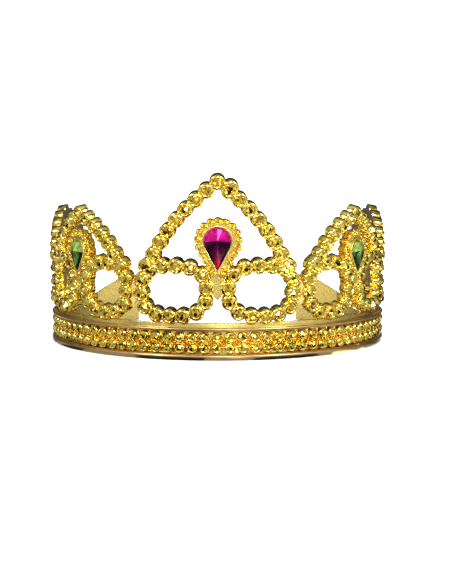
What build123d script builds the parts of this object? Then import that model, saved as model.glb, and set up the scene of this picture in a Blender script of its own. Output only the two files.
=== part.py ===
from build123d import *
import os
from math import cos, degrees, hypot, pi, radians, sin, tan

# An open costume crown, +Z up, front towards -Y. The origin is the centre of the head opening,
# on the plane that the crown stands on. Angles round the wall are in degrees from the front,
# positive towards +X. Millimetres throughout.

# band
head_radius = 68.5
plate_thickness = 1.5
plate_height = 14.8
relief_depth = 2.5
lower_rim_height = 2.6
upper_rim_height = 1.5
band_bead_diameter = 4.4
band_bead_pitch = 5.1
band_row_spacing = 4.5
rim_round = 0.5

# openwork wall standing on the band
wall_depth = 3.4
bead_cap_height = 1.3
bead_diameter = 6.5
bead_pitch = 5.67
bead_table_diameter = 3.2
bead_sides = 12
peg_tilt = 12.0

# widths of the three kinds of panel, as half angles round the wall, and heights of their peaks
centre_half_angle = 28.3
side_half_angle = 24.6
rear_half_angle = 24.0
centre_peak_height = 70.3
side_peak_height = 56.6
rear_peak_height = 53.8
arch_bulge = 3.7

# loops, two to a panel
loop_top = 37.2
loop_sink = 0.9
loop_centre_gap = 2.3
loop_squareness = 2.7
junction_rise = 3.2
panel_gap = 0.5
web_width = 6.0
web_height = 9.0
web_thickness = 2.6

# stone settings
centre_stone_width = 10.8
centre_stone_height = 16.9
centre_stone_tip = 36.0
side_stone_width = 8.4
side_stone_height = 12.4
side_stone_tip = 33.3
lip_width = 0.9
lip_height = 0.7
setting_bead_diameter = 3.3
setting_bead_pitch = 2.95
setting_bead_height = 0.8
stone_seat_depth = 1.2
stone_clearance = 0.05
stone_crown_height = 1.6
stone_table_share = 0.5
stem_width = 6.0
stem_depth = 2.4
stem_foot = 24.0
tip_round = 0.25
tip_growth_share = 0.33

# plain tails behind the last panels
tail_thickness = 1.5
tail_length = 26.0
tail_rise_angle = 20.0
tail_end_radius = 5.0

plate_radius = head_radius + plate_thickness
relief_radius = plate_radius + relief_depth
peg_front_radius = head_radius + wall_depth
upper_rim_base = lower_rim_height + 2 * band_row_spacing
wall_end_angle = centre_half_angle + 2 * side_half_angle + 2 * rear_half_angle


def arc_length(angle):
    return radians(angle) * peg_front_radius


def arc_angle(length):
    return degrees(length / peg_front_radius)


def facing_plane(angle, height, radius, tilt=0.0):
    """A plane on the wall, with X along the wall, Y up and Z outwards."""
    a = radians(angle)
    t = radians(tilt)
    origin = (radius * sin(a), -radius * cos(a), height)
    outward = (cos(t) * sin(a), -cos(t) * cos(a), -sin(t))
    return Plane(origin=origin, x_dir=(cos(a), sin(a), 0), z_dir=outward)


def ring_sector(inner_radius, outer_radius, start_angle, end_angle):
    """A ring cut to the stretch between two angles, added to the open sketch."""
    corner_count = 9
    step = (end_angle - start_angle) / (corner_count - 1)
    turns = [radians(start_angle + step * i) for i in range(corner_count)]
    reach = 2 * outer_radius
    Circle(outer_radius)
    Circle(inner_radius, mode=Mode.SUBTRACT)
    with BuildLine() as cut:
        Polyline((0, 0), *[(reach * sin(a), -reach * cos(a)) for a in turns], close=True)
    make_face(cut.edges(), mode=Mode.INTERSECT)


def band_ring(inner_radius, outer_radius, base, height, rounded_edges=0.0):
    """An open ring round the front and sides, as long as the openwork above it."""
    with BuildPart() as ring:
        with BuildSketch(Plane.XY.offset(base)):
            ring_sector(inner_radius, outer_radius, -wall_end_angle, wall_end_angle)
        extrude(amount=height)
        if rounded_edges:
            outer_edges = ring.edges().filter_by(GeomType.CIRCLE).sort_by(SortBy.RADIUS)[-2:]
            fillet(outer_edges, rounded_edges)
    return ring.part


def band_beads(height):
    """One row of beads on the front of the plate, each a flat cone with its back on the plate."""
    count = int(2 * arc_length(wall_end_angle) / band_bead_pitch)
    step = 2 * wall_end_angle / count
    angles = [-wall_end_angle + step * (i + 0.5) for i in range(count)]
    cap = relief_depth / 2
    shoulder = plate_radius + relief_depth - cap
    with BuildPart() as row:
        with Locations(*[facing_plane(a, height, shoulder) for a in angles]):
            Cylinder(band_bead_diameter / 2, relief_depth, align=(Align.CENTER, Align.CENTER, Align.MAX))
            Cone(
                band_bead_diameter / 2,
                band_bead_diameter / 4,
                cap,
                align=(Align.CENTER, Align.CENTER, Align.MIN),
            )
        Cylinder(
            plate_radius,
            plate_height,
            align=(Align.CENTER, Align.CENTER, Align.MIN),
            mode=Mode.SUBTRACT,
        )
    return row.part


# One bead of the openwork: a many-sided peg with a faceted front, its shoulder on the XY plane. It is
# long enough behind for its tilted back to be cut flush with the inside of the wall.
with BuildPart() as bead_peg:
    with BuildSketch():
        RegularPolygon(bead_diameter / 2, bead_sides)
    extrude(amount=-(wall_depth + bead_diameter * tan(radians(peg_tilt))))
    with BuildSketch():
        RegularPolygon(bead_diameter / 2, bead_sides)
    with BuildSketch(Plane.XY.offset(bead_cap_height)):
        RegularPolygon(bead_table_diameter / 2, bead_sides)
    loft()


def add_bead_pegs(places):
    """Copies of the bead into the open part, at places along the wall and up it, cut clear of the
    head opening and of the band below."""
    planes = [facing_plane(arc_angle(x), z, peg_front_radius, peg_tilt) for x, z in places]
    with Locations(*planes):
        add(bead_peg.part)
    upright = (Align.CENTER, Align.CENTER, Align.MIN)
    Cylinder(head_radius, 2 * centre_peak_height, align=upright, mode=Mode.SUBTRACT)
    Cylinder(plate_radius, plate_height, align=upright, mode=Mode.SUBTRACT)


def spread_evenly(curve, count, first, last):
    """Points at equal distances along a curve given as a function of 0 to 1."""
    steps = 400
    points = [curve(i / steps) for i in range(steps + 1)]
    run = [0.0]
    for p, q in zip(points, points[1:]):
        run.append(run[-1] + hypot(q[0] - p[0], q[1] - p[1]))
    places = []
    for k in range(count):
        share = first + (last - first) * k / (count - 1)
        target = share * run[-1]
        i = next(j for j in range(1, steps + 1) if run[j] >= target - 1e-9)
        part = (target - run[i - 1]) / (run[i] - run[i - 1])
        p, q = points[i - 1], points[i]
        places.append((p[0] + (q[0] - p[0]) * part, p[1] + (q[1] - p[1]) * part))
    return places, run[-1]


def loop_places(centre_angle, half_angle, side):
    """Bead centres of one rounded loop; side is -1 on the left and 1 on the right."""
    inner = loop_centre_gap / 2 + bead_diameter / 2
    outer = arc_length(half_angle) - (bead_diameter + panel_gap) / 2
    half_width = (outer - inner) / 2
    bottom = plate_height - loop_sink + bead_diameter / 2
    half_height = (loop_top - bottom) / 2
    middle = (inner + outer) / 2
    turn_at_junction = junction_rise / half_height

    def rounded(share):
        turn = 2 * pi * share + turn_at_junction
        c, s = cos(turn), sin(turn)
        x = abs(c) ** (2 / loop_squareness) * (1 if c > 0 else -1)
        z = abs(s) ** (2 / loop_squareness) * (1 if s > 0 else -1)
        return (middle + half_width * x, bottom + half_height * (1 + z))

    length = spread_evenly(rounded, 2, 0, 1)[1]
    count = round(length / bead_pitch)
    points = spread_evenly(rounded, count + 1, 0, 1)[0][:-1]
    shift = arc_length(centre_angle)
    return [(shift + side * x, z) for x, z in points]


def arch_places(centre_angle, junctions, peak_height):
    """Bead centres of the pointed arch, up one leg and down the other, without the junctions."""
    shift = arc_length(centre_angle)
    places = [(shift, peak_height)]
    for foot_x, foot_z in junctions:
        run_x, run_z = shift - foot_x, peak_height - foot_z
        chord = hypot(run_x, run_z)
        away = -1 if run_x > 0 else 1
        normal = (away * run_z / chord, abs(run_x) / chord)

        def leg(share):
            swell = 4 * arch_bulge * share * (1 - share)
            return (foot_x + run_x * share + normal[0] * swell, foot_z + run_z * share + normal[1] * swell)

        length = spread_evenly(leg, 2, 0, 1)[1]
        count = round(length / bead_pitch)
        places += spread_evenly(leg, count + 1, 0, 1)[0][1:-1]
    return places


def teardrop(width, height, tip_height, grow):
    """A teardrop in the open sketch, a round head above a point, grown by a margin; the point grows
    by a share of it."""
    head = width / 2
    with Locations((0, tip_height + height - head)):
        Circle(head + grow)
    with Locations((0, tip_height + grow * tip_growth_share + tip_round)):
        Circle(grow + tip_round)
    make_hull()


def make_setting(centre_angle, stone_width, stone_height, stone_tip, loops):
    """The stone's plate with its lip, its ring of small beads and the stem between the loops."""
    back = facing_plane(centre_angle, 0, head_radius)
    front = facing_plane(centre_angle, 0, peg_front_radius)
    with BuildPart() as setting:
        with BuildSketch(back) as outline:
            teardrop(stone_width, stone_height, stone_tip, lip_width + setting_bead_diameter / 2)
        extrude(amount=wall_depth)
        with BuildSketch(back):
            with Locations((0, stem_foot)):
                Rectangle(stem_width, stone_tip - stem_foot, align=(Align.CENTER, Align.MIN))
        extrude(amount=stem_depth)
        rim_wire = outline.sketch_local.faces()[0].outer_wire()
        count = round(rim_wire.length / setting_bead_pitch)
        local = [rim_wire @ ((i + 0.5) / count) for i in range(count)]
        small = setting_bead_diameter / 2
        with Locations(*[back * Pos(p.X, p.Y, 0) for p in local]):
            Cylinder(small, wall_depth, align=(Align.CENTER, Align.CENTER, Align.MIN))
        with Locations(*[front * Pos(p.X, p.Y, 0) for p in local]):
            Cone(small, small / 2, setting_bead_height, align=(Align.CENTER, Align.CENTER, Align.MIN))
        with BuildSketch(front):
            teardrop(stone_width, stone_height, stone_tip, lip_width)
        extrude(amount=lip_height)
        with BuildSketch(front.offset(lip_height)):
            teardrop(stone_width, stone_height, stone_tip, stone_clearance)
        extrude(amount=-(lip_height + stone_seat_depth), mode=Mode.SUBTRACT)
        for loop in loops:
            add(loop, mode=Mode.SUBTRACT)
    return setting.part


def make_stone(centre_angle, stone_width, stone_height, stone_tip):
    """The stone: a straight girdle in its seat and a low crown above it."""
    seat = facing_plane(centre_angle, 0, peg_front_radius - stone_seat_depth)
    girdle_height = stone_seat_depth + lip_height
    with BuildPart() as stone:
        with BuildSketch(seat):
            teardrop(stone_width, stone_height, stone_tip, 0)
        extrude(amount=girdle_height)
        with BuildSketch(seat.offset(girdle_height)):
            teardrop(stone_width, stone_height, stone_tip, 0)
        with BuildSketch(seat.offset(girdle_height + stone_crown_height)):
            teardrop(
                stone_width * stone_table_share,
                stone_height * stone_table_share,
                stone_tip + stone_height * (1 - stone_table_share) / 2,
                0,
            )
        loft()
    return stone.part


os.makedirs("parts", exist_ok=True)


def save(piece, name):
    piece.label = name
    export_step(piece, f"parts/{name}.step")


# The band: a smooth plate, a half-round rim above and below, and two rows of beads between them.
plate = band_ring(head_radius, plate_radius, 0, plate_height)
lower_row_height = lower_rim_height + band_row_spacing / 2
upper_row_height = lower_row_height + band_row_spacing
save(plate, "band_plate")
save(band_ring(plate_radius, relief_radius, 0, lower_rim_height, rim_round), "lower_rim")
save(band_ring(plate_radius, relief_radius, upper_rim_base, upper_rim_height, rim_round), "upper_rim")
save(band_beads(lower_row_height), "lower_bead_row")
save(band_beads(upper_row_height), "upper_bead_row")

# The five panels: a pointed arch over two loops, with a stone in its setting between them.
side_centre_angle = centre_half_angle + side_half_angle
side_end_angle = side_centre_angle + side_half_angle
rear_centre_angle = side_end_angle + rear_half_angle
centre_stone = (centre_stone_width, centre_stone_height, centre_stone_tip)
side_stone = (side_stone_width, side_stone_height, side_stone_tip)
panels = {
    "centre": (0, centre_half_angle, centre_peak_height, centre_stone),
    "left_side": (-side_centre_angle, side_half_angle, side_peak_height, side_stone),
    "right_side": (side_centre_angle, side_half_angle, side_peak_height, side_stone),
    "left_rear": (-rear_centre_angle, rear_half_angle, rear_peak_height, side_stone),
    "right_rear": (rear_centre_angle, rear_half_angle, rear_peak_height, side_stone),
}
all_loops = []
for panel, (centre_angle, half_angle, peak_height, stone_size) in panels.items():
    loops = []
    junctions = []
    for side, side_name in ((-1, "left"), (1, "right")):
        places = loop_places(centre_angle, half_angle, side)
        junctions.append(places[0])
        with BuildPart() as loop:
            add_bead_pegs(places)
        loops.append(loop.part)
        save(loop.part, f"{panel}_{side_name}_loop")
    setting = make_setting(centre_angle, *stone_size, loops)
    save(setting, f"{panel}_setting")
    save(make_stone(centre_angle, *stone_size), f"{panel}_stone")
    with BuildPart() as arch:
        add_bead_pegs(arch_places(centre_angle, junctions, peak_height))
        for neighbour in loops + [setting]:
            add(neighbour, mode=Mode.SUBTRACT)
    save(arch.part, f"{panel}_arch")
    all_loops += loops

# The webs between neighbouring panels: a small smooth diamond where two loops stand side by side.
web_angles = [side * angle for side in (-1, 1) for angle in (centre_half_angle, side_end_angle)]
web_middle = (plate_height + loop_top) / 2
with BuildPart() as webs:
    for angle in web_angles:
        with BuildSketch(facing_plane(angle, web_middle, head_radius)):
            with BuildLine():
                Polyline(
                    (-web_width / 2, 0),
                    (0, -web_height / 2),
                    (web_width / 2, 0),
                    (0, web_height / 2),
                    close=True,
                )
            make_face()
        extrude(amount=web_thickness)
    for loop in all_loops:
        add(loop, mode=Mode.SUBTRACT)
save(webs.part, "panel_webs")

# The tails: plain strips behind the last panels, whose top edge rises towards the back.
tail_angle = degrees(tail_length / plate_radius)
tail_rise = tail_length * tan(radians(tail_rise_angle))
for side, side_name in ((-1, "left"), (1, "right")):
    start_angle = side * wall_end_angle
    end_angle = side * (wall_end_angle + tail_angle)
    near, far = -side * tail_length, side * tail_length / 2
    with BuildPart() as tail:
        with BuildSketch():
            ring_sector(head_radius, head_radius + tail_thickness, start_angle, end_angle)
        extrude(amount=plate_height + tail_rise)
        with BuildSketch(facing_plane((start_angle + end_angle) / 2, 0, 0)):
            with BuildLine():
                Polyline(
                    (near, 0),
                    (far, 0),
                    (far, plate_height + tail_rise),
                    (near, plate_height - tail_rise / 2),
                    close=True,
                )
            make_face()
        extrude(amount=2 * head_radius, mode=Mode.INTERSECT)
        end_face = tail.faces().sort_by(Axis.Y)[-1]
        top_corner = end_face.edges().sort_by(Axis.Z)[-1]
        fillet(top_corner, tail_end_radius)
    save(tail.part, f"{side_name}_tail")
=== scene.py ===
import math
import random

import bpy
from mathutils import Matrix, Vector


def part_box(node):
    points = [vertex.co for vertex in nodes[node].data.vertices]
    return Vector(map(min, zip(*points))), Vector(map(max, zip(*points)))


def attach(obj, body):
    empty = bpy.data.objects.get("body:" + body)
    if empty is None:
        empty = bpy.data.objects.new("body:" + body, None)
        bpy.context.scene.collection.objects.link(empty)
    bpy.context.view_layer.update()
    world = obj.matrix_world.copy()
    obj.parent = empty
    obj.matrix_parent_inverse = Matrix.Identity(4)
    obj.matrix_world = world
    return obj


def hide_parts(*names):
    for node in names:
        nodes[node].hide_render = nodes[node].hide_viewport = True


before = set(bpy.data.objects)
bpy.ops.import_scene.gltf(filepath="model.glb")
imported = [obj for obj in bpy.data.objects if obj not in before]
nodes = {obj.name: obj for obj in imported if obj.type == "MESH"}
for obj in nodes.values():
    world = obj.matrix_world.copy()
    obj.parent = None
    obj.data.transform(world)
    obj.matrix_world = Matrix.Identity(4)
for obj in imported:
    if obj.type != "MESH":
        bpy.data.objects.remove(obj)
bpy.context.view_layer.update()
random.seed(7)

# --- Camera ---------------------------------------------------------------------------------
# A long lens a little above the band, square to the front, shifted so that the crown stands above
# the middle of the frame and slightly to its left.
band_radius = 0.072
camera_distance = 9.46 * band_radius
camera_rise = math.radians(7.88)
camera_data = bpy.data.cameras.new("studio_camera")
camera_data.lens = 94.8
camera_data.shift_x = 0.0147
camera_data.shift_y = 0.0753
camera_data.clip_start = 0.01
camera = bpy.data.objects.new("studio_camera", camera_data)
camera.location = (0, -camera_distance * math.cos(camera_rise), camera_distance * math.sin(camera_rise))
camera.rotation_euler = (math.radians(90) - camera_rise, 0, 0)
bpy.context.collection.objects.link(camera)
bpy.context.scene.camera = camera
bpy.context.scene.view_settings.view_transform = "Standard"


# --- Floor and light ------------------------------------------------------------------------
# A pale seamless floor that curves up behind. In reflections it shows patches of dark and light
# instead, so that each small facet of the polished metal has its own tone.
def deselect_all():
    bpy.ops.object.select_all(action="DESELECT")


def plain_material(name):
    material = bpy.data.materials.new(name)
    material.use_nodes = True
    return material, material.node_tree.nodes, material.node_tree.links


floor_size = 6.0
deselect_all()
bpy.ops.mesh.primitive_grid_add(x_subdivisions=1, y_subdivisions=40, size=floor_size)
floor = bpy.context.object
floor.name = "studio_floor"
sweep_start, sweep_radius = 0.9, 0.8
for vertex in floor.data.vertices:
    past = vertex.co.y - sweep_start
    if past > 0:
        turn = min(past / sweep_radius, math.pi / 2)
        climb = max(past - sweep_radius * math.pi / 2, 0)
        vertex.co.y = sweep_start + sweep_radius * math.sin(turn)
        vertex.co.z = sweep_radius * (1 - math.cos(turn)) + climb
bpy.ops.object.shade_smooth()
floor_paint, paint_nodes, paint_links = plain_material("floor_paint")
paint = paint_nodes["Principled BSDF"]
paint.inputs["Base Color"].default_value = (0.93, 0.93, 0.93, 1)
paint.inputs["Roughness"].default_value = 0.9
paint.inputs["Specular IOR Level"].default_value = 0.1
# Painted reflection: for glossy rays the floor is swapped for a glow in patches of black, grey and
# over-bright white, strongest in front and fading behind.
painted_reflection_glow = paint_nodes.new("ShaderNodeEmission")
rays = paint_nodes.new("ShaderNodeLightPath")
choice = paint_nodes.new("ShaderNodeMixShader")
floor_place = paint_nodes.new("ShaderNodeTexCoord")
floor_axes = paint_nodes.new("ShaderNodeSeparateXYZ")
depth_map = paint_nodes.new("ShaderNodeMapRange")
depth_map.inputs["From Min"].default_value = -0.08
depth_map.inputs["From Max"].default_value = 0.25
depth_map.inputs["To Min"].default_value = 1.0
depth_map.inputs["To Max"].default_value = 0.12
painted_reflection_patches = paint_nodes.new("ShaderNodeTexNoise")
painted_reflection_patches.inputs["Scale"].default_value = 24
painted_reflection_patches.inputs["Detail"].default_value = 1
painted_reflection_ramp = paint_nodes.new("ShaderNodeValToRGB")
painted_reflection_ramp.color_ramp.interpolation = "CONSTANT"
painted_reflection_ramp.color_ramp.elements[0].color = (0.02, 0.02, 0.02, 1)
painted_reflection_ramp.color_ramp.elements[1].position = 0.45
painted_reflection_ramp.color_ramp.elements[1].color = (0.5, 0.48, 0.44, 1)
glare = painted_reflection_ramp.color_ramp.elements.new(0.59)
glare.color = (2.6, 2.6, 2.4, 1)
paint_links.new(floor_place.outputs["Object"], floor_axes.inputs["Vector"])
paint_links.new(floor_place.outputs["Object"], painted_reflection_patches.inputs["Vector"])
paint_links.new(floor_axes.outputs["Y"], depth_map.inputs["Value"])
paint_links.new(painted_reflection_patches.outputs["Fac"], painted_reflection_ramp.inputs["Fac"])
paint_links.new(painted_reflection_ramp.outputs["Color"], painted_reflection_glow.inputs["Color"])
paint_links.new(depth_map.outputs["Result"], painted_reflection_glow.inputs["Strength"])
paint_links.new(rays.outputs["Is Glossy Ray"], choice.inputs["Fac"])
paint_links.new(paint.outputs["BSDF"], choice.inputs[1])
paint_links.new(painted_reflection_glow.outputs["Emission"], choice.inputs[2])
paint_links.new(choice.outputs["Shader"], paint_nodes["Material Output"].inputs["Surface"])
floor.data.materials.append(floor_paint)

# The room: a bright front half, dark overhead and behind, and broken up by darker patches so
# that each small facet of the metal has its own tone.
world = bpy.data.worlds.new("studio_room")
world.use_nodes = True
bpy.context.scene.world = world
room_nodes, room_links = world.node_tree.nodes, world.node_tree.links
direction = room_nodes.new("ShaderNodeTexCoord")
axes = room_nodes.new("ShaderNodeSeparateXYZ")
height_ramp = room_nodes.new("ShaderNodeValToRGB")
for place, grey in ((0.0, 0.2), (0.1, 0.65), (0.24, 1.2), (0.5, 1.0), (0.68, 0.25), (1.0, 0.04)):
    stop = height_ramp.color_ramp.elements.new(place)
    stop.color = (grey, grey, grey, 1)
height_ramp.color_ramp.elements.remove(height_ramp.color_ramp.elements[-1])
front_map = room_nodes.new("ShaderNodeMapRange")
front_map.inputs["From Min"].default_value = 0.5
front_map.inputs["From Max"].default_value = -0.35
front_map.inputs["To Min"].default_value = 0.16
front_map.inputs["To Max"].default_value = 1.0
patches = room_nodes.new("ShaderNodeTexNoise")
patches.inputs["Scale"].default_value = 3.2
patches.inputs["Detail"].default_value = 1
patch_ramp = room_nodes.new("ShaderNodeValToRGB")
patch_ramp.color_ramp.elements[0].position = 0.36
patch_ramp.color_ramp.elements[0].color = (0.10, 0.10, 0.10, 1)
patch_ramp.color_ramp.elements[1].position = 0.46
patch_ramp.color_ramp.elements[1].color = (1, 1, 1, 1)
tone = room_nodes.new("ShaderNodeMath")
tone.operation = "MULTIPLY"
room_links.new(direction.outputs["Generated"], axes.inputs["Vector"])
room_links.new(direction.outputs["Generated"], patches.inputs["Vector"])
room_links.new(axes.outputs["Z"], height_ramp.inputs["Fac"])
room_links.new(axes.outputs["Y"], front_map.inputs["Value"])
room_links.new(patches.outputs["Fac"], patch_ramp.inputs["Fac"])
room_links.new(front_map.outputs["Result"], tone.inputs[0])
room_links.new(patch_ramp.outputs["Color"], tone.inputs[1])
room_links.new(height_ramp.outputs["Color"], room_nodes["Background"].inputs["Color"])
room_links.new(tone.outputs["Value"], room_nodes["Background"].inputs["Strength"])

softboxes = (
    ("floor_light", (0.0, -0.2, 1.5), (0, 0, 0), 1.6, 36.0, False),
    ("left_light", (-0.9, -0.9, 0.75), (0, 0, 0.04), 0.3, 6.0, True),
    ("right_light", (0.8, -0.9, 0.65), (0, 0, 0.04), 0.3, 6.0, True),
    ("front_light", (0.1, -1.3, 0.45), (0, 0, 0.04), 0.25, 3.0, True),
    ("back_light", (0.0, 0.5, 0.9), (0, 1.4, 0.4), 1.0, 16.0, False),
)
for light_name, place, target, size, watts, in_reflections in softboxes:
    light_data = bpy.data.lights.new(light_name, "AREA")
    light_data.shape = "SQUARE"
    light_data.size = size
    light_data.energy = watts
    light = bpy.data.objects.new(light_name, light_data)
    light.location = place
    light.rotation_euler = (Vector(target) - Vector(place)).to_track_quat("-Z", "Y").to_euler()
    light.visible_glossy = in_reflections
    bpy.context.collection.objects.link(light)


# --- Band plate -----------------------------------------------------------------------------
# The smooth strip that goes round the head, part of the one moulding in thin polished gold
# plating. It is swept round from its section, with small rounded edges.
def metallised(name, colour, roughness, ripple, ripple_size, tarnish):
    """Plated plastic: metal with faint sink ripples, fine haze and darker gold in patches."""
    material, maker, links = plain_material(name)
    shader = maker["Principled BSDF"]
    shader.inputs["Metallic"].default_value = 1.0
    coords = maker.new("ShaderNodeTexCoord")
    patches = maker.new("ShaderNodeTexNoise")
    patches.inputs["Scale"].default_value = 220
    patches.inputs["Detail"].default_value = 4
    tint = maker.new("ShaderNodeValToRGB")
    tint.color_ramp.elements[0].position = 0.35
    tint.color_ramp.elements[0].color = tuple(c * tarnish for c in colour) + (1,)
    tint.color_ramp.elements[1].position = 0.62
    tint.color_ramp.elements[1].color = tuple(colour) + (1,)
    haze = maker.new("ShaderNodeTexNoise")
    haze.inputs["Scale"].default_value = 900
    haze.inputs["Detail"].default_value = 3
    haze_range = maker.new("ShaderNodeMapRange")
    haze_range.inputs["To Min"].default_value = roughness * 0.85
    haze_range.inputs["To Max"].default_value = roughness * 1.15
    ripples = maker.new("ShaderNodeTexNoise")
    ripples.inputs["Scale"].default_value = ripple_size
    ripples.inputs["Detail"].default_value = 2
    bump = maker.new("ShaderNodeBump")
    bump.inputs["Strength"].default_value = ripple
    bump.inputs["Distance"].default_value = 0.0004
    for texture in (patches, haze, ripples):
        links.new(coords.outputs["Object"], texture.inputs["Vector"])
    links.new(patches.outputs["Fac"], tint.inputs["Fac"])
    links.new(tint.outputs["Color"], shader.inputs["Base Color"])
    links.new(haze.outputs["Fac"], haze_range.inputs["Value"])
    links.new(haze_range.outputs["Result"], shader.inputs["Roughness"])
    links.new(ripples.outputs["Fac"], bump.inputs["Height"])
    links.new(bump.outputs["Normal"], shader.inputs["Normal"])
    return material


smooth_gold = metallised("smooth_gold", (0.95, 0.72, 0.20), 0.26, 0.03, 90, 0.95)


def fastened(piece, material_slot, *replaced):
    """The calls that every new piece ends with."""
    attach(piece, "root")
    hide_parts(*replaced)


def node_angle(node):
    """How far a node reaches round the crown from the front, in radians."""
    return max(abs(math.atan2(v.co.x, -v.co.y)) for v in nodes[node].data.vertices)


def node_radii(node):
    reach = [math.hypot(v.co.x, v.co.y) for v in nodes[node].data.vertices]
    return min(reach), max(reach)


def swept_band(name, section, half_angle, material):
    """A closed section, as (radius, height) points, swept round between two ends."""
    steps = 120
    deselect_all()
    bpy.ops.mesh.primitive_circle_add(vertices=len(section), radius=1, fill_type="NGON")
    piece = bpy.context.object
    piece.name = name
    for vertex, (radius, height) in zip(piece.data.vertices, section):
        turn = -half_angle
        vertex.co = (radius * math.sin(turn), -radius * math.cos(turn), height)
    bpy.ops.object.mode_set(mode="EDIT")
    bpy.ops.mesh.select_all(action="SELECT")
    bpy.ops.mesh.spin(steps=steps, angle=2 * half_angle, center=(0, 0, 0), axis=(0, 0, -1))
    bpy.ops.mesh.select_all(action="SELECT")
    bpy.ops.mesh.remove_doubles(threshold=1e-6)
    bpy.ops.mesh.normals_make_consistent(inside=False)
    bpy.ops.object.mode_set(mode="OBJECT")
    piece.data.materials.append(material)
    bpy.ops.object.shade_smooth_by_angle(angle=math.radians(40))
    return piece


def rounded_section(inner, outer, base, top, corner, corner_steps=3):
    """A rectangle with rounded corners, as points in order."""
    points = []
    middles = ((outer, top, 0), (inner, top, 90), (inner, base, 180), (outer, base, 270))
    for radius, height, start in middles:
        centre_r = radius - corner if radius == outer else radius + corner
        centre_z = height - corner if height == top else height + corner
        for step in range(corner_steps + 1):
            turn = math.radians(start + 90 * step / corner_steps)
            points.append((centre_r + corner * math.cos(turn), centre_z + corner * math.sin(turn)))
    return points


half_angle = node_angle("band_plate")
plate_corner = 0.0003
inner, plate_face = node_radii("band_plate")
base, top = (corner.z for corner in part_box("band_plate"))
plate_section = rounded_section(inner, plate_face, base, top, plate_corner)
plate = swept_band("band_plate_moulding", plate_section, half_angle, smooth_gold)
fastened(plate, "gold_plastic", "band_plate")

# --- Rims -----------------------------------------------------------------------------------
# Two half-round mouldings that frame the rows of beads, part of the same plated body.
rim_gold = metallised("rim_gold", (0.62, 0.43, 0.19), 0.30, 0.10, 180, 0.88)
largest_rim_round = 0.0011
rim_round_share = 0.45
for rim_node in ("lower_rim", "upper_rim"):
    inner, outer = node_radii(rim_node)
    base, top = (corner.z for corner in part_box(rim_node))
    rim_round = min(largest_rim_round, (top - base) * rim_round_share)
    section = rounded_section(inner, outer, base, top, rim_round, corner_steps=5)
    rim = swept_band(rim_node + "_moulding", section, node_angle(rim_node), rim_gold)
    fastened(rim, "gold_plastic", rim_node)

# --- Bead rows on the band --------------------------------------------------------------------
# Two rows of small cut beads moulded on the plate, one above the other in columns, each with a
# round foot and a faceted top.
bright_gold = metallised("bright_gold", (0.97, 0.73, 0.15), 0.06, 0.03, 500, 0.92)
# Painted shade: a darker, rougher copy of the plating for the backs of pegs and plates, which face away
# from the light.
painted_shade_gold = metallised("painted_shade_gold", (0.50, 0.41, 0.27), 0.5, 0.3, 400, 0.85)


def mark_faces(piece, test):
    """Leaves the piece in edit mode with just the faces selected whose centre and normal pass."""
    bpy.ops.object.mode_set(mode="EDIT")
    bpy.ops.mesh.select_mode(type="FACE")
    bpy.ops.mesh.select_all(action="DESELECT")
    bpy.ops.object.mode_set(mode="OBJECT")
    for face in piece.data.polygons:
        face.select = test(face.center, face.normal)
    bpy.ops.object.mode_set(mode="EDIT")


def cut_bead(name, radius, depth, sides, shoulders, facets, crown_radius, crown_table, crown_height):
    """A bead about the origin with its table up: a round peg, soft shoulders and a faceted crown."""
    deselect_all()
    bpy.ops.mesh.primitive_cylinder_add(
        vertices=sides, radius=radius, depth=depth, location=(0, 0, -depth / 2)
    )
    peg = bpy.context.object
    peg.name = name
    bpy.ops.object.transform_apply(location=True, rotation=False, scale=False)
    mark_faces(peg, lambda centre, normal: normal.z > 0.9)
    for width, rise in shoulders:
        bpy.ops.mesh.inset(thickness=width, depth=rise)
    bpy.ops.object.mode_set(mode="OBJECT")
    bpy.ops.object.shade_smooth_by_angle(angle=math.radians(50))
    seat = max(vertex.co.z for vertex in peg.data.vertices)
    floor_height = sum(rise for _, rise in shoulders)
    deselect_all()
    bpy.ops.mesh.primitive_cone_add(
        vertices=facets,
        radius1=crown_radius,
        radius2=crown_table,
        depth=crown_height,
        end_fill_type="NGON",
        location=(0, 0, floor_height + crown_height / 2),
    )
    crown = bpy.context.object
    bpy.ops.object.transform_apply(location=True, rotation=False, scale=False)
    mark_faces(crown, lambda centre, normal: normal.z < -0.9)
    bpy.ops.mesh.delete(type="FACE")
    mark_faces(crown, lambda centre, normal: normal.z > 0.9)
    bpy.ops.transform.rotate(
        value=math.pi / facets, orient_axis="Z", center_override=(0, 0, floor_height + crown_height)
    )
    mark_faces(crown, lambda centre, normal: normal.z < 0.9)
    bpy.ops.mesh.quads_convert_to_tris(quad_method="SHORTEST_DIAGONAL")
    bpy.ops.object.mode_set(mode="OBJECT")
    deselect_all()
    peg.select_set(True)
    crown.select_set(True)
    bpy.context.view_layer.objects.active = peg
    bpy.ops.object.join()
    top = max(seat, floor_height + crown_height)
    peg.data.transform(Matrix.Translation((0, 0, -top)))
    return peg


# How nearly a face must look outwards to be a bead's front, or straight ahead to be a setting's,
# and how far behind the outermost front a true one can lie.
outward_share = 0.97
ahead_share = 0.999
front_reach = 0.0015


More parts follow.
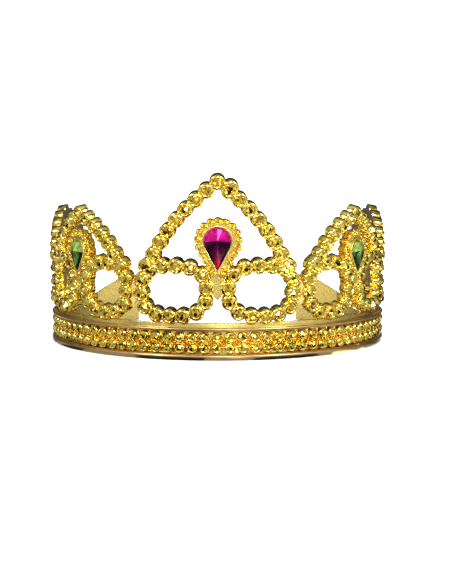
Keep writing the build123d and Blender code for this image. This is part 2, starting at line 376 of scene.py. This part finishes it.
def bead_fronts(node, apart, flush=None):
    """Where a CAD node's beads end: the centre and facing of each flat bead top."""
    triangles = []
    centre = sum(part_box(node), Vector()) / 2
    facing = Vector((centre.x, centre.y, 0)).normalized()
    for face in nodes[node].data.polygons:
        outward = Vector((face.center.x, face.center.y, 0)).normalized()
        if face.normal.dot(outward) > outward_share:
            triangles.append((face.center.copy(), face.normal.copy(), face.area))
    if flush is not None:
        triangles = [t for t in triangles if t[1].dot(facing) > ahead_share]
        reach = max(t[0].dot(facing) for t in triangles)
        triangles = [t for t in triangles if t[0].dot(facing) > reach - flush]
    groups = []
    for place, normal, area in triangles:
        for group in groups:
            if (group[0] / group[2] - place).length < apart:
                group[0] += place * area
                group[1] += normal * area
                group[2] += area
                break
        else:
            groups.append([place * area, normal * area, area])
    fronts = [(g[0] / g[2], g[1].normalized(), g[2]) for g in groups]
    outermost = max(math.hypot(front[0].x, front[0].y) for front in fronts)
    return [front for front in fronts if math.hypot(front[0].x, front[0].y) > outermost - front_reach]


def placed_beads(name, pattern, fronts, inner_radius=0.0, wobble=28):
    """A copy of the pattern bead at each front, all joined into one piece. With an inner radius,
    the backs are slid along the pegs until they lie on that cylinder."""
    back_level = min(vertex.co.z for vertex in pattern.data.vertices)
    copies = []
    for place, normal, _ in fronts:
        across = Vector((0, 0, 1)).cross(normal).normalized()
        upward = normal.cross(across)
        turn = Matrix((across, upward, normal)).transposed().to_4x4()
        copy = pattern.copy()
        copy.data = pattern.data.copy()
        twist = Matrix.Rotation(math.radians(random.uniform(-wobble, wobble)), 4, "Z")
        copy.data.transform(Matrix.Translation(place) @ turn @ twist)
        if inner_radius:
            for vertex, model in zip(copy.data.vertices, pattern.data.vertices):
                if model.co.z < back_level + 1e-6:
                    reach = math.hypot(vertex.co.x, vertex.co.y)
                    inward = math.hypot(normal.x, normal.y)
                    vertex.co -= normal * ((reach - inner_radius) / inward)
        bpy.context.collection.objects.link(copy)
        copies.append(copy)
    deselect_all()
    for copy in copies:
        copy.select_set(True)
    bpy.context.view_layer.objects.active = copies[0]
    if len(copies) > 1:
        bpy.ops.object.join()
    piece = bpy.context.view_layer.objects.active
    piece.name = name
    return piece


bead_apart = 0.0025
band_bead = cut_bead(
    "band_bead",
    radius=0.0023,
    depth=0.0013,
    sides=14,
    shoulders=((0.0002, 0.0004), (0.0004, 0.0003), (0.0003, -0.0001)),
    facets=5,
    crown_radius=0.0014,
    crown_table=0.0006,
    crown_height=0.0007,
)
band_bead.data.materials.append(bright_gold)
for row_node in ("lower_bead_row", "upper_bead_row"):
    row = placed_beads(row_node + "_beads", band_bead, bead_fronts(row_node, bead_apart))
    fastened(row, "gold_plastic", row_node)
bpy.data.objects.remove(band_bead)

# Small smooth diamonds fill the spaces between each four beads.
stud_half_width = 0.0015
stud_top = 0.0004
stud_depth = 0.0014
stud_rise = 0.0013
low_front = bead_fronts("lower_bead_row", bead_apart)
high_front = bead_fronts("upper_bead_row", bead_apart)
low_front.sort(key=lambda front: math.atan2(front[0].x, -front[0].y))
high_front.sort(key=lambda front: math.atan2(front[0].x, -front[0].y))
stud_height = (low_front[0][0].z + high_front[0][0].z) / 2
stud_seats = []
for front, after in zip(low_front, low_front[1:]):
    outward = (front[1] + after[1]).normalized()
    seat = Vector((outward.x, outward.y, 0)) * (plate_face + stud_rise)
    stud_seats.append((seat + Vector((0, 0, stud_height)), outward, 0))
deselect_all()
bpy.ops.mesh.primitive_cone_add(
    vertices=4,
    radius1=stud_half_width,
    radius2=stud_top,
    depth=stud_depth,
    location=(0, 0, -stud_depth / 2),
)
stud = bpy.context.object
bpy.ops.object.transform_apply(location=True, rotation=False, scale=False)
stud.data.materials.append(smooth_gold)
studs = placed_beads("band_studs", stud, stud_seats, wobble=0)
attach(studs, "root")
bpy.data.objects.remove(stud)

# --- Loops and arches -------------------------------------------------------------------------
# The openwork: strings of deep pegs with cut fronts, moulded side by side. The backs are flat and
# rougher, and take a darker brown gold that is painted shade for the sides turned from the light.
inner = node_radii("band_plate")[0]
openwork_bead = cut_bead(
    "openwork_bead",
    radius=0.00325,
    depth=0.0032,
    sides=16,
    shoulders=((0.0002, 0.0003), (0.0004, 0.0003), (0.0004, 0.0001), (0.0002, -0.0002)),
    facets=5,
    crown_radius=0.0020,
    crown_table=0.0009,
    crown_height=0.0011,
)
openwork_bead.data.materials.append(bright_gold)
openwork_bead.data.materials.append(painted_shade_gold)
# The flat backs get the painted shade gold.
for face in openwork_bead.data.polygons:
    if face.normal.z < -0.9:
        face.material_index = 1
panel_names = ("centre", "left_side", "right_side", "left_rear", "right_rear")
for panel in panel_names:
    for string in ("left_loop", "right_loop", "arch"):
        node = f"{panel}_{string}"
        beads = placed_beads(node + "_beads", openwork_bead, bead_fronts(node, bead_apart), inner)
        fastened(beads, "gold_plastic", node)
bpy.data.objects.remove(openwork_bead)

# --- Webs and tails ---------------------------------------------------------------------------
# Smooth diamonds of the same moulding between neighbouring panels, and the plain strips at the
# back. Their CAD shapes are kept, with a material of their own.
pale_gold = metallised("pale_gold", (0.95, 0.76, 0.24), 0.28, 0.03, 60, 0.93)
pale_gold.node_tree.nodes["Principled BSDF"].inputs["Metallic"].default_value = 0.7
for plain_node in ("panel_webs", "left_tail", "right_tail"):
    plain = nodes[plain_node]
    plain.data.materials.clear()
    plain.data.materials.append(pale_gold)

# --- Settings -----------------------------------------------------------------------------------
# A drop-shaped plate with a raised smooth lip round the stone, a ring of small cut beads and a
# short pointed stem between the loops, all of the one plated moulding.
small_bead = cut_bead(
    "small_bead",
    radius=0.00145,
    depth=0.0030,
    sides=14,
    shoulders=((0.0001, 0.0005), (0.0003, 0.0004), (0.00015, -0.0001)),
    facets=4,
    crown_radius=0.0009,
    crown_table=0.0003,
    crown_height=0.0008,
)
small_bead.data.materials.append(bright_gold)
lip_width = 0.0009
lip_thickness = 0.0008
lip_sink = 0.0003
lip_steps = ((0.0002, 0.00015), (0.0003, 0.00005), (0.0003, -0.0002), (0.0001, -0.0006))
ring_half_width = 0.00165
ring_rise = 0.0008
ring_bead_apart = 0.0012
ring_flush = 0.00005
setting_head_points = 36
stem_half_width = 0.003
stem_thickness = 0.0024
stem_overlap = 0.001
tip_radius = 0.00025


def drop_outline(half_width, height, grow, head_points, side_points=1):
    """A drop above a small round point at the origin, grown by a margin, as points in order."""
    head, foot = height - half_width, tip_radius + grow / 3
    head_radius, foot_radius = half_width + grow, tip_radius + grow
    lean = math.asin((head_radius - foot_radius) / (head - foot))
    points = []
    for i in range(head_points):
        turn = -lean + (math.pi + 2 * lean) * i / (head_points - 1)
        points.append((head_radius * math.cos(turn), head + head_radius * math.sin(turn)))
    foot_points = 4
    arc = []
    for i in range(foot_points):
        turn = math.pi + lean + (math.pi - 2 * lean) * i / (foot_points - 1)
        arc.append((foot_radius * math.cos(turn), foot + foot_radius * math.sin(turn)))
    left, right = (points[-1], arc[0]), (arc[-1], points[0])
    shares = [i / side_points for i in range(1, side_points)]
    falling, rising = (
        [(a[0] + (b[0] - a[0]) * k, a[1] + (b[1] - a[1]) * k) for k in shares] for a, b in (left, right)
    )
    return points + falling + arc + rising


def drop_frame(node):
    """Where a drop stands: its axes, sideways shift, facing, half width, height and depth range."""
    low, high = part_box(node)
    middle = (low + high) / 2
    facing = Vector((middle.x, middle.y, 0)).normalized()
    across = Vector((0, 0, 1)).cross(facing).normalized()
    spread = [v.co.dot(across) for v in nodes[node].data.vertices]
    reach = [v.co.dot(facing) for v in nodes[node].data.vertices]
    axes = Matrix((across, Vector((0, 0, 1)), facing)).transposed().to_4x4()
    shift = across * ((max(spread) + min(spread)) / 2)
    half_width = (max(spread) - min(spread)) / 2
    return axes, shift, facing, half_width, low.z, high.z, min(reach), max(reach)


def raised_outline(name, outline, thickness, material):
    """A flat outline at the origin raised into a plate; left in edit mode with its front selected."""
    deselect_all()
    bpy.ops.mesh.primitive_circle_add(vertices=len(outline), radius=1, fill_type="NGON")
    plate = bpy.context.object
    plate.name = name
    for vertex, (x, z) in zip(plate.data.vertices, outline):
        vertex.co = (x, z, 0)
    bpy.ops.object.mode_set(mode="EDIT")
    bpy.ops.mesh.select_all(action="SELECT")
    bpy.ops.mesh.extrude_region_move(TRANSFORM_OT_translate={"value": (0, 0, thickness)})
    plate.data.materials.append(material)
    return plate


def closed_and_smoothed(piece, angle):
    bpy.ops.mesh.select_all(action="SELECT")
    bpy.ops.mesh.normals_make_consistent(inside=False)
    bpy.ops.object.mode_set(mode="OBJECT")
    if angle:
        bpy.ops.object.shade_smooth_by_angle(angle=math.radians(angle))


for panel in panel_names:
    node = f"{panel}_setting"
    axes_matrix, shift, facing, half_width, low_z, high_z, _, _ = drop_frame(f"{panel}_stone")
    _, _, _, _, setting_low, _, back, front = drop_frame(node)
    plate_front = front - ring_rise
    height = high_z - low_z
    plate_outline = drop_outline(half_width, height, lip_width + ring_half_width, setting_head_points)
    plate_piece = raised_outline(node + "_plate", plate_outline, plate_front - back, smooth_gold)
    closed_and_smoothed(plate_piece, 40)
    # The back faces get the painted shade gold.
    plate_piece.data.materials.append(painted_shade_gold)
    for face in plate_piece.data.polygons:
        if face.normal.z < -0.9:
            face.material_index = 1
    plate_place = shift + facing * back + Vector((0, 0, low_z))
    plate_piece.data.transform(Matrix.Translation(plate_place) @ axes_matrix)
    lip_outline = drop_outline(half_width, height, lip_width, setting_head_points)
    lip_piece = raised_outline(node + "_lip", lip_outline, lip_thickness, smooth_gold)
    for width, rise in lip_steps:
        bpy.ops.mesh.inset(thickness=width, depth=rise)
    closed_and_smoothed(lip_piece, 60)
    lip_place = shift + facing * (plate_front - lip_sink) + Vector((0, 0, low_z))
    lip_piece.data.transform(Matrix.Translation(lip_place) @ axes_matrix)
    stem_top = low_z - setting_low + stem_overlap
    stem_outline = [
        (-stem_half_width, stem_half_width),
        (0, 0),
        (stem_half_width, stem_half_width),
        (stem_half_width, stem_top),
        (-stem_half_width, stem_top),
    ]
    stem_piece = raised_outline(node + "_stem", stem_outline, stem_thickness, smooth_gold)
    bpy.ops.mesh.inset(thickness=0.0004, depth=0.0003)
    closed_and_smoothed(stem_piece, 30)
    stem_place = shift + facing * back + Vector((0, 0, setting_low))
    stem_piece.data.transform(Matrix.Translation(stem_place) @ axes_matrix)
    ring_fronts = bead_fronts(node, ring_bead_apart, flush=ring_flush)
    ring = placed_beads(node + "_ring", small_bead, ring_fronts)
    deselect_all()
    for piece in (plate_piece, lip_piece, stem_piece, ring):
        piece.select_set(True)
    bpy.context.view_layer.objects.active = plate_piece
    bpy.ops.object.join()
    plate_piece.name = node + "_cast"
    fastened(plate_piece, "gold_plastic", node)
bpy.data.objects.remove(small_bead)


# --- Stones -------------------------------------------------------------------------------------
# Cut drops of clear coloured plastic with foil behind them, glued in the settings.
def foiled_stone(name):
    material, maker, links = plain_material(name)
    shader = maker["Principled BSDF"]
    shader.inputs["Metallic"].default_value = 0.75
    shader.inputs["Coat Weight"].default_value = 0.12
    shader.inputs["Coat Roughness"].default_value = 0.03
    coords = maker.new("ShaderNodeTexCoord")
    # The facet colours carry painted light and shade, set per corner in cut_drop.
    facets = maker.new("ShaderNodeAttribute")
    facets.attribute_name = "painted_facet_light_and_shade"
    cloud = maker.new("ShaderNodeTexNoise")
    cloud.inputs["Scale"].default_value = 420
    cloud.inputs["Detail"].default_value = 3
    depth = maker.new("ShaderNodeMapRange")
    depth.inputs["From Min"].default_value = 0.3
    depth.inputs["From Max"].default_value = 0.65
    depth.inputs["To Min"].default_value = 0.45
    depth.inputs["To Max"].default_value = 1.1
    shaded = maker.new("ShaderNodeVectorMath")
    shaded.operation = "SCALE"
    gloss = maker.new("ShaderNodeMapRange")
    gloss.inputs["To Min"].default_value = 0.03
    gloss.inputs["To Max"].default_value = 0.16
    bump = maker.new("ShaderNodeBump")
    bump.inputs["Strength"].default_value = 0.05
    bump.inputs["Distance"].default_value = 0.0002
    links.new(coords.outputs["Object"], cloud.inputs["Vector"])
    links.new(cloud.outputs["Fac"], depth.inputs["Value"])
    links.new(cloud.outputs["Fac"], gloss.inputs["Value"])
    links.new(cloud.outputs["Fac"], bump.inputs["Height"])
    links.new(facets.outputs["Color"], shaded.inputs["Vector"])
    links.new(depth.outputs["Result"], shaded.inputs["Scale"])
    links.new(shaded.outputs["Vector"], shader.inputs["Base Color"])
    links.new(gloss.outputs["Result"], shader.inputs["Roughness"])
    links.new(bump.outputs["Normal"], shader.inputs["Normal"])
    return material


magenta = foiled_stone("magenta_stone")
green = foiled_stone("green_stone")
# Painted light and shade on the stones: a bright lit colour for the upper fan, dark shaded colours for
# the long lower facets, darkest at the sides, and a colour of its own at the tip.
magenta_palette = {
    "upper": (0.76, 0.0, 0.26),
    "middle": (0.11, 0.0, 0.10),
    "edge": (0.06, 0.0, 0.02),
    "tip": (0.80, 0.01, 0.07),
}
green_palette = {
    "upper": (0.58, 0.88, 0.16),
    "middle": (0.26, 0.50, 0.08),
    "edge": (0.02, 0.06, 0.01),
    "tip": (0.10, 0.25, 0.03),
}


# How much of a stone's depth lies above its girdle, how high its ridge stands above its widest
# level, and where between girdle and ridge its facets break, as shares.
crown_share = 0.45
ridge_share = 0.05
break_rise = (0.4, 0.6)
break_size = (0.86, 0.88, 1)


def cut_drop(name, node, material, palette):
    """A drop with a straight girdle, a fan of short facets above and long ones below.
    Its facets carry painted light above and painted shade below.
    """
    axes_matrix, shift, facing, half_width, low_z, high_z, back, front = drop_frame(node)
    height = high_z - low_z
    head_height = height - half_width
    outline = drop_outline(half_width, height, 0, 11, side_points=3)
    deselect_all()
    bpy.ops.mesh.primitive_circle_add(vertices=len(outline), radius=1, fill_type="NGON")
    stone = bpy.context.object
    stone.name = name
    for vertex, (x, z) in zip(stone.data.vertices, outline):
        vertex.co = (x, z, 0)
    bpy.ops.object.mode_set(mode="EDIT")
    bpy.ops.mesh.select_all(action="SELECT")
    rise = front - back
    crown_rise = rise * crown_share
    ridge = (0, head_height + half_width * ridge_share, rise)
    bpy.ops.mesh.extrude_region_move(TRANSFORM_OT_translate={"value": (0, 0, rise - crown_rise)})
    bpy.ops.mesh.extrude_region_move(TRANSFORM_OT_translate={"value": (0, 0, crown_rise * break_rise[0])})
    bpy.ops.transform.resize(value=break_size, center_override=ridge)
    bpy.ops.mesh.extrude_region_move(TRANSFORM_OT_translate={"value": (0, 0, crown_rise * break_rise[1])})
    bpy.ops.transform.resize(value=(0, 0, 1), center_override=ridge)
    bpy.ops.mesh.select_all(action="SELECT")
    bpy.ops.mesh.remove_doubles(threshold=1e-6)
    bpy.ops.mesh.normals_make_consistent(inside=False)
    bpy.ops.object.mode_set(mode="OBJECT")
    facet_light_and_shade = stone.data.color_attributes.new("painted_facet_light_and_shade", "FLOAT_COLOR", "CORNER")
    # Painted light and shade per facet: the upper colour above, tip, middle and edge colours below, each
    # facet darkened at random, more so below.
    for face in stone.data.polygons:
        upper = face.center.y > ridge[1] - half_width * ridge_share
        shade = random.uniform(0.75, 1.0) if upper else random.uniform(0.4, 1.0)
        for corner in face.loop_indices:
            spot = stone.data.vertices[stone.data.loops[corner].vertex_index].co
            if upper:
                colour = palette["upper"]
            elif spot.y < height * 0.12:
                colour = palette["tip"]
            elif abs(spot.x) < half_width * 0.2:
                colour = palette["middle"]
            else:
                colour = palette["edge"]
            facet_light_and_shade.data[corner].color = tuple(c * shade for c in colour) + (1,)
    stone_place = shift + facing * back + Vector((0, 0, low_z))
    stone.data.transform(Matrix.Translation(stone_place) @ axes_matrix)
    stone.data.materials.append(material)
    return stone


for panel in panel_names:
    node = f"{panel}_stone"
    if "side" in panel:
        stone = cut_drop(node + "_cut", node, green, green_palette)
        fastened(stone, "green_stone", node)
    else:
        stone = cut_drop(node + "_cut", node, magenta, magenta_palette)
        fastened(stone, "magenta_stone", node)
